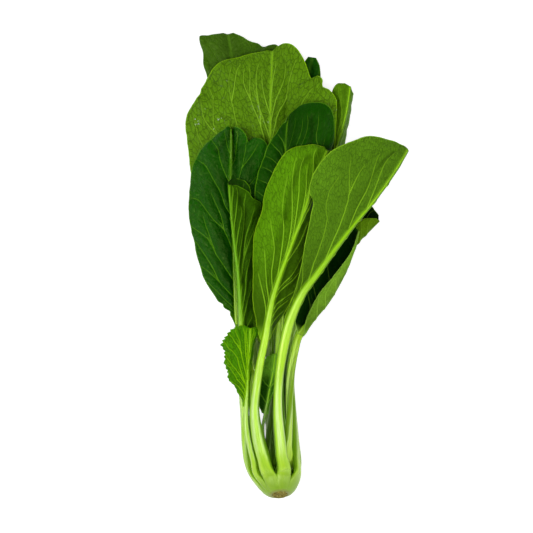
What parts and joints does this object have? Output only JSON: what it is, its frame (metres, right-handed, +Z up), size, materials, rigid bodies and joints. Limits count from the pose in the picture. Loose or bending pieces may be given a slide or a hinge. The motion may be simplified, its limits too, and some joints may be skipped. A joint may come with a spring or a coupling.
{
  "type": "choy sum",
  "caption": "Head of choy sum lying on its side: pale fleshy stalks join at a cut crown and carry loose green leaves, some underside up and others dark and glossy.",
  "frame": {"origin": "middle of the footprint, on the surface that the head lies on", "axes": "+Y runs from the cut crown to the leaf tips, +Z is up from the surface, +X is to the right of the head seen from above"},
  "size_m": [0.1562, 0.3296, 0.0545],
  "materials": {
    "crown": "dry cut stem, tan and brown",
    "stalk": "smooth fleshy stalk, pale green, satin",
    "blade_under": "leaf underside, mid green, matt, raised veins",
    "blade_upper": "leaf upper side, deep green, waxy",
    "blade_young": "young leaf, bright green, matt, toothed"
  },
  "bodies": {
    "root": {"crown": "crown", "front_leaf_stalk": "stalk", "front_leaf_blade": "blade_under", "right_leaf_stalk": "stalk", "right_leaf_blade": "blade_under", "toothed_leaf_stalk": "stalk", "toothed_leaf_blade": "blade_young", "rolled_leaf_stalk": "stalk", "rolled_leaf_blade": "blade_under", "glossy_leaf_stalk": "stalk", "glossy_leaf_blade": "blade_upper", "dark_leaf_stalk": "stalk", "dark_leaf_blade": "blade_upper", "upper_leaf_stalk": "stalk", "upper_leaf_blade": "blade_under", "broad_leaf_stalk": "stalk", "broad_leaf_blade": "blade_under", "slim_leaf_stalk": "stalk", "slim_leaf_blade": "blade_upper", "folded_leaf_stalk": "stalk", "folded_leaf_blade": "blade_upper", "pointed_leaf_stalk": "stalk", "pointed_leaf_blade": "blade_upper", "small_leaf_stalk": "stalk", "small_leaf_blade": "blade_young", "back_leaf_stalk": "stalk", "back_leaf_blade": "blade_upper"}
  },
  "joints": []
}
